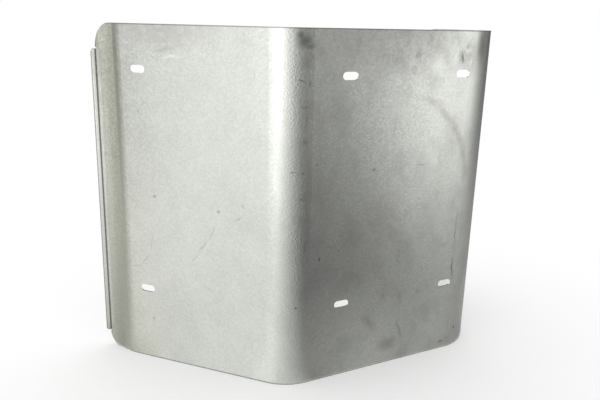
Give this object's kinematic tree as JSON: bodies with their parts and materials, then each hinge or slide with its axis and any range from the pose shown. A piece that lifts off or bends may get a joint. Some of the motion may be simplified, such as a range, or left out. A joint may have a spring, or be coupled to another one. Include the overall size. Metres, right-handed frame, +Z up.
{
  "type": "exhaust heat shield",
  "caption": "Folded sheet shield with broad rounded bends, a side flange with a raised lip, a deep side flange and slots for bolting it in front of a hot exhaust.",
  "frame": {"origin": "under the middle of the shield's extents, on the plane of its lower edge", "axes": "+Z up along the bends, +Y from the right panel's outer face towards the hot part, +X along the right panel towards the deep right flange"},
  "size_m": [0.4542, 0.1904, 0.4],
  "materials": {
    "galvanised_sheet": "hot-dip galvanised, satin, finely mottled, with handling stains"
  },
  "bodies": {
    "root": {"heat_shield": "galvanised_sheet"}
  },
  "joints": []
}
